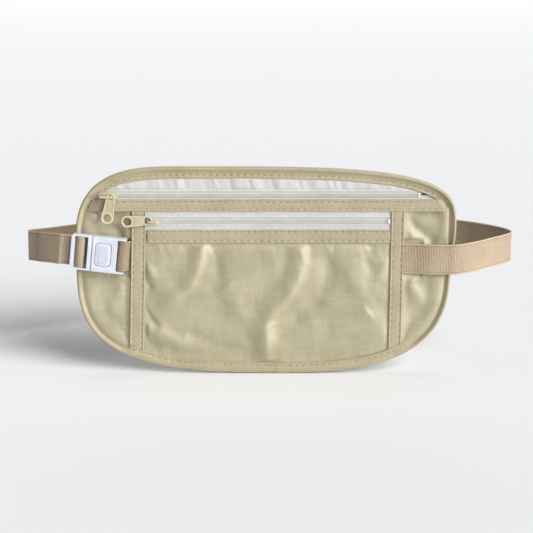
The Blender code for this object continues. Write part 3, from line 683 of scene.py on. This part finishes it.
def panels():
    xs = np.arange(-97.6, 101.41, 1.0)
    low, _ = spans(xs, 3.2)
    pocket = cloth("pocket_front", xs, low, 28.2, 104, pocket_depth)
    dress(pocket, "pouch", "khaki_fabric", KHAKI, "front_pocket_panel")
    xs = np.linspace(-138.6, 136.2, 230)
    low, high = spans(xs, 3.0)
    body = cloth("pouch_body", xs, low, np.minimum(high, 51.0), 90, body_depth)
    dress(body, "pouch", "khaki_fabric", KHAKI, "front_body_panel")
    xs = np.linspace(-140.4, 139.6, 200)
    low, high = spans(xs, 1.6)
    back = cloth("back_cloth", xs, low, high, 110, lambda x, z: back_depth(x, z) + 0.6, 0.6)
    dress(back, "pouch", "khaki_fabric", BACKING, "back_panel")


# -------- facing strips and side tapes
def band_section(half):
    """Folded tape: rolled edges, two stitch furrows, soft crown, as (across, height, on top)."""
    top = [(-half, 0.0), (-half + 0.04, 0.45), (-half + 0.22, 0.8), (-half + 0.55, 0.92),
           (-half + 0.9, 0.82), (-half + 1.2, 0.56), (-half + 1.6, 0.34), (-half + 2.0, 0.46),
           (-half + 2.6, 0.6), (-half + 3.2, 0.62)]
    top = top + [(-a, b) for a, b in reversed(top)]
    return [(-half, 0.0, False)] + [(a, b, True) for a, b in top] + [(half, 0.0, False)]


def band(name, node, length, half, place, floor, seed, tuck=(0, 0)):
    """Tape along t: place(t, across) gives (x, z), floor(t, across) its underside.

    tuck is how far each end dips under the binding.
    """
    count = int(length / 0.9)
    ts = np.linspace(0, 1, count + 1)
    columns = []
    for across, height, on_top in band_section(half):
        x, z = place(ts, across)
        if abs(across) >= half - 0.3:
            z = z + 0.16 * soft_noise(ts * length, 0 * ts + across, 9.0, seed)
        if on_top:
            pull = np.cos(TAU * ts * length / STITCH_PITCH)
            furrow = bump((abs(across) - (half - BAND_SEAM)) / 0.7)
            d = FACE_D - 0.66 + height - 0.1 * pull * furrow
            d = d + 0.1 * soft_noise(ts * length, 0 * ts + across * 2, 6.0, seed + 1)
            for end, run in zip(tuck, (ts * length, (1 - ts) * length)):
                d = d - end * (1 - smooth((run - 1.4) / 1.8))
        else:
            d = floor(ts, across)
        columns.append(np.stack([x, -d, z], -1))
    obj = rings_mesh(name, np.stack(columns, 1))
    return dress(obj, "pouch", "binding_tape", TAPE, node)


def strips():
    """Facing strips over the body and the pocket, then the tapes down the pocket's sides."""
    middle_1, middle_2 = (sum(strip) / 2 for strip in (STRIP_1, STRIP_2))

    def place_1(t, across):
        left, right = reach(middle_1 + across, BINDING_WIDTH - 2.6)
        return left + (right - left) * t, middle_1 + across + 0 * t

    def floor_1(t, across):
        x = -130 + 262 * t
        over_zip = smooth((x + 93) / 2) * smooth((97 - x) / 2)
        low = 3.45 if across > 0 else 5.9
        return low * over_zip + 3.6 * (1 - over_zip)

    def place_2(t, across):
        return -88.3 + 181.2 * t, middle_2 + across + 0 * t

    band("upper_facing", "upper_facing_strip", 262, middle_1 - STRIP_1[0], place_1, floor_1, 41,
         tuck=(0.9, 0.9))
    band("lower_facing", "lower_facing_strip", 181, middle_2 - STRIP_2[0], place_2,
         lambda t, across: 5.95 + 0 * t, 43)
    for name, node, (top, foot), sign, seed in (
            ("left_tape", "left_side_tape", LEFT_TAPE, -1, 45),
            ("right_tape", "right_side_tape", RIGHT_TAPE, 1, 47)):
        start, end = sum(top) / 2, sum(foot) / 2

        def place(t, across):
            low, _ = span(end + across, BINDING_WIDTH - 2.4)
            return start + (end - start) * t + across, TAPE_TOP_Z + 0.3 + (low - TAPE_TOP_Z) * t

        def floor(t, across):
            z = TAPE_TOP_Z - TAPE_LENGTH * t
            web = smooth((z + 5.5) / 2) * smooth((28 - z) / 2)
            return np.where(across * sign > 0, 3.5 + 2.4 * web, 5.95)

        band(name, node, TAPE_LENGTH, (top[1] - top[0]) / 2, place, floor, seed, tuck=(0, 0.9))


# -------- zips
def zip_tapes():
    def ridge(z, centre):
        """Woven ridge and groove on each side of the rows."""
        off = np.abs(z - centre)
        return 0.4 * bump((off - 2.95) / 0.5) - 0.3 * bump((off - 1.85) / 0.35)

    def upper(x, z):
        up = smooth((z - UPPER_ZIP_Z - 3) / 3) * smooth((edge_gap(x, z) - BINDING_WIDTH) / 1.5)
        ripple = soft_noise(x, 0 * z, 5.5, 51) + 0.6 * soft_noise(x + 0.3 * z, 0 * z, 2.8, 52)
        return BODY_D + 0.1 + up * (0.4 + 0.5 * ripple) + ridge(z, UPPER_ZIP_Z)

    left, right = reach(UPPER_ZIP_Z + 8, 3.0)
    xs = np.linspace(left, right, 240)
    _, high = spans(xs, 3.4)
    top = cloth("upper_zip_cloth_top", xs, UPPER_ZIP_Z + ZIP_SLIT, high, 40, upper, ZIP_CLOTH)
    dress(top, "pouch", "zip_tape", ZIP_TAPE, "upper_zip_tape_top")
    left, right = reach(51.5, 3.2)
    xs = np.linspace(left + 3, right - 3, 200)
    _, high = spans(xs, 3.4)
    low = cloth("upper_zip_cloth_low", xs, 51.6, np.minimum(UPPER_ZIP_Z - ZIP_SLIT, high), 24,
                lambda x, z: BODY_D + 0.08 + ridge(z, UPPER_ZIP_Z), ZIP_CLOTH)
    dress(low, "pouch", "zip_tape", ZIP_TAPE, "upper_zip_tape_bottom")

    def lower(x, z):
        up = smooth((z - LOWER_ZIP_Z - 2.5) / 3)
        ripple = soft_noise(x, 0 * z, 7.0, 54)
        return (POCKET_D + 0.08 + 0.2 * up * ripple * smooth((46.5 - z) / 2)
                + ridge(z, LOWER_ZIP_Z))

    xs = np.linspace(-91.8, 96.8, 190)
    rows = ((LOWER_ZIP_Z + ZIP_SLIT, 49.6, "top", "lower_zip_tape_top"),
            (29.0, LOWER_ZIP_Z - ZIP_SLIT, "low", "lower_zip_tape_bottom"))
    for z0, z1, tag, node in rows:
        piece = cloth("lower_zip_cloth_" + tag, xs, z0, z1, 34, lower, ZIP_CLOTH)
        dress(piece, "pouch", "zip_tape", ZIP_TAPE, node)


def coil(name, node, side, z, surface):
    """One row of a nylon coil: a flattened helix of thread-thin wire."""
    low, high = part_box(node)
    x0, x1 = low.x / MM + 0.4, high.x / MM - 0.4
    pitch, per_turn, sides, wire = 1.1, 12, 5, 0.24
    turns = int((x1 - x0) / pitch)
    t = np.arange(turns * per_turn + 1) / per_turn
    a = TAU * t
    half_turn = 0.5 * pitch * (side < 0)
    centre = np.stack([x0 + half_turn + pitch * t, -(surface + 0.42 + 0.26 * np.sin(a)),
                       z + side * (0.64 - 0.74 * np.cos(a))], -1)
    tangent = unit(np.gradient(centre, axis=0))
    first = unit(np.cross(tangent, [1.0, 0.2, 0.0]))
    second = np.cross(tangent, first)
    angles = (TAU * np.arange(sides) / sides)[None, :, None]
    rings = centre[:, None] + wire * (first[:, None] * np.cos(angles)
                                      + second[:, None] * np.sin(angles))
    return dress(rings_mesh(name, rings), "pouch", "zip_coil", COIL, node)


def coils():
    for tag, z, surface in (("upper", UPPER_ZIP_Z, BODY_D), ("lower", LOWER_ZIP_Z, POCKET_D)):
        coil(tag + "_nylon_top", tag + "_coil_top", 1, z, surface)
        coil(tag + "_nylon_low", tag + "_coil_bottom", -1, z, surface)
        rounded_copy(tag + "_stop_block", tag + "_end_stop", "pouch", "zip_coil", COIL, 0.25)


# -------- hard trims
def rounded_copy(name, node, body, slot, mat, width, segments=3, weigh=None):
    """The CAD node's own shape with its sharp edges rounded.

    weigh(middle of an edge, in mm) gives an edge's share of the rounding.
    """
    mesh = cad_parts[node].data.copy()
    mesh.name = name
    obj = add(name, mesh)
    bevel = obj.modifiers.new("round", "BEVEL")
    bevel.width = width * MM
    bevel.segments = segments
    bevel.limit_method = "WEIGHT" if weigh else "ANGLE"
    bevel.angle_limit = SHARP
    bm = bmesh.new()
    bm.from_mesh(mesh)
    bmesh.ops.remove_doubles(bm, verts=bm.verts, dist=1e-6)
    bmesh.ops.dissolve_limit(bm, angle_limit=math.radians(4), verts=bm.verts, edges=bm.edges)
    if weigh:
        layer = bm.edges.layers.float.new("bevel_weight_edge")
        for edge in bm.edges:
            sharp = edge.is_manifold and edge.calc_face_angle(0.0) > SHARP
            middle = (edge.verts[0].co + edge.verts[1].co) / (2 * MM)
            edge[layer] = weigh(middle) if sharp else 0.0
    bm.to_mesh(mesh)
    bm.free()
    graph = bpy.context.evaluated_depsgraph_get()
    obj.data = bpy.data.meshes.new_from_object(obj.evaluated_get(graph))
    obj.modifiers.clear()
    obj.data.shade_smooth()
    obj.data.set_sharp_from_angle(angle=math.radians(50))
    return dress(obj, body, slot, mat, node)


def arc(cx, radius, start, stop, steps):
    """Points round (cx, 0), with both angles in degrees."""
    t = np.radians(np.linspace(start, stop, steps + 1))
    return np.stack([cx + radius * np.cos(t), radius * np.sin(t)], -1)


def rimmed_tab(name, node, body, pivot, depth, direction, eye, shorter=0.0):
    """Pull tab with raised rims round its outline and its hole on both faces, the rims in a
    lighter paint as a painted highlight.
    """
    rounded_copy(name, node, body, "painted_slider", PAINT, 0.2)
    head = eye - TAB_RIM + TAB_HALF_TOP
    hole = TAB_HOLE_AT - shorter
    c, s = math.cos(math.radians(direction)), math.sin(math.radians(direction))
    loops = (np.concatenate([arc(head, TAB_HALF_TOP - RIM_INSET, 270, 90, 16),
                             arc(hole, TAB_HALF_END - RIM_INSET, 82, -82, 20)]),
             arc(hole, TAB_HOLE_RADIUS + RIM_INSET, 0, 345, 23))
    points = []
    faces = []
    for loop in loops:
        ahead = unit(np.roll(loop, -1, 0) - np.roll(loop, 1, 0))
        outward = np.stack([ahead[:, 1], -ahead[:, 0]], -1)
        for sign in (-1, 1):
            start = len(points)
            for (a, b), (oa, ob) in zip(loop, outward):
                for t in TAU * np.arange(RIM_SIDES) / RIM_SIDES:
                    out = RIM_HALF * math.cos(t)
                    u, v = a + out * oa, b + out * ob
                    d = depth + sign * (TAB_THICKNESS / 2 - 0.05 + RIM_HEIGHT * math.sin(t))
                    points.append((pivot[0] + u * c - v * s, -d, pivot[1] + u * s + v * c))
            for i in range(len(loop)):
                after = (i + 1) % len(loop)
                faces += ring_quads(start + i * RIM_SIDES, start + after * RIM_SIDES, RIM_SIDES)
    # rims in the lighter paint: painted highlight
    dress(make(name + "_rims", points, faces), body, "painted_slider", RIM)


def sliders():
    for tag in ("upper", "lower"):
        body = tag + "_slider"
        rounded_copy(tag + "_slider_shell", tag + "_slider_body", body, "painted_slider",
                     PAINT, 0.28)
        rounded_copy(tag + "_slider_bridge", tag + "_slider_crown", body, "painted_slider",
                     PAINT, 0.34, 4)
    rimmed_tab("upper_tab_plate", "upper_pull_tab", "upper_pull", UPPER_PIVOT, 10.45, -101.0,
               UPPER_EYE, UPPER_TAB_SHORTER)
    rimmed_tab("lower_tab_plate", "lower_pull_tab", "lower_pull", LOWER_PIVOT, 8.25, 183.0,
               LOWER_EYE)


def on_buckle(u, v, d):
    """Point of the buckle: u along it, v across it, d forward of the wearer's side."""
    c, s = math.cos(BUCKLE_TILT), math.sin(BUCKLE_TILT)
    return np.array([BUCKLE_X + u * c + v * s, -d, BUCKLE_Z - u * s + v * c])


def buckle_uv(point):
    """Along and across the buckle, from a point in mm."""
    x, z = point.x - BUCKLE_X, point.z - BUCKLE_Z
    c, s = math.cos(BUCKLE_TILT), math.sin(BUCKLE_TILT)
    return x * c - z * s, x * s + z * c


def plug_weight(middle):
    """Nearly sharp where the plug meets the socket, and round elsewhere."""
    u, _ = buckle_uv(middle)
    return CRISP if abs(u - PLUG_FACE) < 0.6 else 1.0


def socket_weight(middle):
    """Nearly sharp round the pad's window and where the plug goes in."""
    u, v = buckle_uv(middle)
    in_window = PAD_WINDOW[0] < u < PAD_WINDOW[1] and abs(v) < PAD_WINDOW[2]
    return CRISP if in_window or abs(u - SOCKET_FACE) < 0.6 else 1.0


def pad_ribs():
    """Slanting grip ribs on the pad, each cut off at the pad's flat."""
    points = []
    faces = []
    profile = [(-0.42, -0.05), (-0.26, 0.24), (0.0, 0.34), (0.26, 0.24), (0.42, -0.05)]
    n = len(profile)
    for k in range(-5, 6):
        middle = (PAD_FLAT[0] + PAD_FLAT[1]) / 2 + k * RIB_PITCH
        line = [(middle + t * RIB_REACH[0], t * RIB_REACH[1]) for t in np.linspace(-1, 1, 15)]
        line = [(u, v) for u, v in line if PAD_FLAT[0] < u < PAD_FLAT[1]]
        if len(line) < 3:
            continue
        start = len(points)
        for u, v in line:
            points += [on_buckle(u + du, v, PAD_D + height) for du, height in profile]
        for a in range(start, len(points) - n, n):
            faces += ring_quads(a, a + n, n)
        faces.append(tuple(range(start, start + n)))
        faces.append(tuple(range(len(points) - n, len(points))))
    dress(make("pad_ribs", points, faces), "release_button", "white_plastic", WHITE)


def buckle():
    for name, node, body, width, segments, weigh in (
            ("socket_shell", "buckle_socket", "pouch", 0.75, 4, socket_weight),
            ("plug_frame", "buckle_plug", "buckle_plug", 0.75, 4, plug_weight),
            ("press_pad", "release_button", "release_button", 0.22, 3, None)):
        rounded_copy(name, node, body, "white_plastic", WHITE, width, segments, weigh)
    pad_ribs()


# -------- webbing
def curve(points, spacing):
    """Smooth curve through the points (Catmull-Rom)."""
    path = []
    ends = np.array([points[0], *points, points[-1]], float)
    for p0, p1, p2, p3 in zip(ends, ends[1:], ends[2:], ends[3:]):
        count = max(1, round(np.linalg.norm(p2 - p1) / spacing))
        for k in range(count):
            t = k / count
            path.append(0.5 * (2 * p1 + (p2 - p0) * t + (2 * p0 - 5 * p1 + 4 * p2 - p3) * t * t
                               + (3 * p1 - p0 - 3 * p2 + p3) * t ** 3))
    return np.array(path + [ends[-1]])


def web_mesh(name, centres, ups, seed):
    """Webbing with rolled selvedges and slight give, UVs in mm."""
    normal = unit(np.cross(unit(np.gradient(centres, axis=0)), ups))
    run = run_along(centres)
    edge = [(-WEB_HALF + inset_by, share * WEB_THICKNESS / 2) for inset_by, share in WEB_EDGE]
    face = edge + [(-a, h) for a, h in reversed(edge)]
    rings = []
    uvs = []
    for a, h in face + [(a, -h) for a, h in face[-2:0:-1]]:
        give = 0.12 * soft_noise(run, 0 * run + a * 0.1, 15.0, seed)
        inner = abs(a) < WEB_HALF - 0.2
        rings.append(centres + ups * a + normal * (h + give * inner)[:, None])
        uvs.append(np.stack([run, np.full(len(run), a)], -1))
    rings = np.stack(rings, 1)
    uv = np.stack(uvs, 1).reshape(-1, 2)
    return rings_mesh(name, rings, uv=uv)


def straps():
    right = curve([(x, y, STRAP_Z) for x, y in STRAP_RIGHT_PLAN], 1.6)
    plan = curve([(x, y, 0.0) for x, y in STRAP_LEFT_PLAN], 1.6)
    tilted = np.array([math.sin(BUCKLE_TILT), 0, math.cos(BUCKLE_TILT)])
    up = np.array([0.0, 0.0, 1.0])
    joined = on_buckle(STRAP_LEFT_PLAN[-1][0] - BUCKLE_X, 0.0, 0.0)[2]
    run = run_along(plan)
    share = smooth(1 - (run[-1] - run) / 75.0)
    left = plan.copy()
    left[:, 2] = STRAP_Z + (joined - STRAP_Z) * share
    left_ups = up + (tilted - up) * share[:, None]
    keep = run[-1] - run <= TAIL_LENGTH
    tangent = unit(np.gradient(left, axis=0))
    tail = (left - np.cross(left_ups, tangent) * TAIL_OFFSET)[keep][::-1]
    wrap = curve([on_buckle(u, 0.0, d) for u, d in PLUG_WRAP], 0.6)
    centres = np.concatenate([right[:-1], left[1:], wrap, tail])
    ups = unit(np.concatenate([np.tile(up, (len(right) - 1, 1)), left_ups[1:],
                               np.tile(tilted, (len(wrap), 1)), left_ups[keep][::-1]]))
    strap = web_mesh("waist_strap", centres, ups, 61)
    strap.data.materials.append(WEBBING)
    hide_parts("strap_left", "strap_right")
    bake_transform(strap)
    short = curve([on_buckle(u, 0.0, d) for u, d in SHORT_WEB], 0.6)
    short[:, 2] -= SHORT_WEB_SAG * smooth((short[:, 0] - BUCKLE_X - 18.0) / 10.0)
    piece = web_mesh("buckle_web", short, np.tile(tilted, (len(short), 1)), 63)
    # the short piece wears the darker webbing copy: painted shade
    dress(piece, "pouch", "webbing", SHADED_WEBBING, "short_webbing")


# -------- stitching
def blob(rows, sides, length, wide, high):
    """Rice-grain template along X, height on -Y."""
    points = [(-length / 2, 0, 0)]
    for r in range(1, rows):
        a = math.pi * r / rows
        for k in range(sides):
            b = TAU * k / sides
            points.append((-length / 2 * math.cos(a), -high * math.sin(a) * math.sin(b),
                           wide * math.sin(a) * math.cos(b)))
    points.append((length / 2, 0, 0))
    faces = [(0, 1 + (k + 1) % sides, 1 + k) for k in range(sides)]
    for r in range(rows - 2):
        faces += ring_quads(1 + r * sides, 1 + (r + 1) * sides, sides)
    last, tip = 1 + (rows - 2) * sides, len(points) - 1
    faces += [(last + k, last + (k + 1) % sides, tip) for k in range(sides)]
    return np.array(points), faces


def scatter(name, template, spots, mat):
    points, faces = template
    everything = []
    all_faces = []
    for n, (centre, angle) in enumerate(spots):
        c, s = math.cos(angle), math.sin(angle)
        turn = np.array([[c, 0, -s], [0, 1, 0], [s, 0, c]])
        everything.append(points @ turn.T + centre)
        all_faces += [tuple(i + n * len(points) for i in face) for face in faces]
    obj = make(name, np.concatenate(everything), all_faces)
    return dress(obj, "pouch", "binding_tape", mat)


def seam(path, depth, slant, threads, holes, rear=False):
    """Stitches along a path of (x, z), each with a dark painted-shade blob at its needle hole;
    depth gives the surface there.
    """
    path = np.asarray(path, float)
    run = run_along(path)
    count = int(run[-1] / STITCH_PITCH)
    depth = np.broadcast_to(depth, (len(path),))

    def at(place):
        return np.array([np.interp(place, run, column) for column in path.T])

    for k in range(count):
        s = (k + 0.5) * run[-1] / count
        x, z = at(s)
        angle = math.atan2(*(at(s + 1.0) - at(s - 1.0))[::-1])
        d = float(np.interp(s, run, depth))
        jitter = 0.08 * (lattice(k, len(threads), 7) - 0.5)
        threads.append((np.array([x, -d, z]), angle + slant + jitter))
        # a flat dark blob at the needle hole: painted shade
        x, z = at(s + STITCH_PITCH / 2)
        holes.append((np.array([x, (0.02 if rear else -0.02) - d, z]), angle + slant * 3))


def stitches():
    threads = []
    holes = []
    row = inset(STITCH_INSET)
    depth = leg_depth(STITCH_INSET, PINCH) - 0.22
    closed = np.concatenate([row, row[:1]])
    seam(closed, np.append(depth, depth[0]), 0.3, threads, holes)
    seam(closed, np.full(len(closed), 0.08), -0.3, threads, holes, rear=True)
    top = FACE_D - 0.2
    for z in (STRIP_1[0] + BAND_SEAM, STRIP_1[1] - BAND_SEAM):
        left, right = reach(z, BINDING_WIDTH)
        seam([(left + 0.5, z), (right - 0.5, z)], top, -0.3, threads, holes)
    for z in (STRIP_2[0] + BAND_SEAM, STRIP_2[1] - BAND_SEAM):
        seam([(-88, z), (92.6, z)], top, -0.3, threads, holes)
    for head, foot in (LEFT_TAPE, RIGHT_TAPE):
        for side, step in ((0, BAND_SEAM), (1, -BAND_SEAM)):
            end = foot[side] + step
            seam([(head[side] + step, TAPE_TOP_Z - 1), (end, span(end, BINDING_WIDTH)[0] + 1)],
                 top, -0.3, threads, holes)
    scatter("stitch_thread", blob(6, 6, 3.8, 0.33, 0.26), threads, THREAD)
    # the hole blobs carry painted shade
    scatter("stitch_hole_shade", blob(4, 6, 1.3, 0.3, 0.08), holes, HOLE)


# -------- camera, floor and light
def aim(obj, target):
    direction = Vector(target) - obj.location
    obj.rotation_euler = direction.to_track_quat("-Z", "Y").to_euler()


def camera():
    data = bpy.data.cameras.new("photo_camera")
    data.sensor_width, data.lens = 36.0, CAMERA_LENS
    data.clip_end = 20.0
    obj = add("photo_camera", data)
    rise = math.radians(CAMERA_RISE)
    back = CAMERA_DISTANCE * Vector((0, -math.cos(rise), math.sin(rise)))
    obj.location = Vector(CAMERA_TARGET) + back
    aim(obj, CAMERA_TARGET)
    bpy.context.scene.camera = obj


def lamp(name, angles, strength, spread, colour):
    """Sun at an angle to the right of the front and an angle up, aimed at the pouch."""
    data = bpy.data.lights.new(name, "SUN")
    data.energy = strength
    data.color = colour
    data.angle = math.radians(spread)
    obj = add(name, data)
    turn, rise = (math.radians(a) for a in angles)
    obj.location = (math.sin(turn) * math.cos(rise), -math.cos(turn) * math.cos(rise),
                    math.sin(rise))
    aim(obj, (0, 0, 0))


def backdrop():
    """Paper sweep: a floor that turns up far behind the pouch."""
    floor_z = -HALF_HEIGHT * MM - 0.0004
    profile = [(-6.0, 0.0), (5.5, 0.0)]
    profile += [(5.5 + 1.5 * math.sin(a), 1.5 - 1.5 * math.cos(a))
                for a in np.linspace(0.1, math.pi / 2, 12)]
    profile += [(7.0, 5.0)]
    points = [(x, y, z + floor_z) for y, z in profile for x in (-7.0, 7.0)]
    faces = [(2 * i, 2 * i + 1, 2 * i + 3, 2 * i + 2) for i in range(len(profile) - 1)]
    mesh = bpy.data.meshes.new("backdrop")
    mesh.from_pydata(points, [], faces)
    mesh.shade_smooth()
    paper = Graph("backdrop_paper", FLOOR_COLOUR, 1.0)
    paper.set("Specular IOR Level", 0.0)
    mesh.materials.append(paper.mat)
    add("backdrop", mesh)


def sky():
    """Light from all round, pale at the horizon and dim above it."""
    world = bpy.data.worlds.new("studio")
    bpy.context.scene.world = world
    world.use_nodes = True
    tree = world.node_tree
    coords = tree.nodes.new("ShaderNodeTexCoord")
    split = tree.nodes.new("ShaderNodeSeparateXYZ")
    fade = tree.nodes.new("ShaderNodeValToRGB")
    tree.links.new(coords.outputs["Generated"], split.inputs[0])
    tree.links.new(split.outputs[2], fade.inputs[0])
    tree.links.new(fade.outputs[0], tree.nodes["Background"].inputs[0])
    for element, rise, level in zip(fade.color_ramp.elements, SKY_RISE, SKY_LEVEL):
        element.position = math.sin(math.radians(rise))
        element.color = (0.97 * level, 0.985 * level, level, 1.0)


def studio():
    backdrop()
    sky()
    for settings in LAMPS:
        lamp(*settings)
    view = bpy.context.scene.view_settings
    view.view_transform = "Standard"
    view.look = "None"


# -------- build
camera()
edge_binding()
panels()
strips()
zip_tapes()
coils()
sliders()
buckle()
straps()
stitches()
studio()
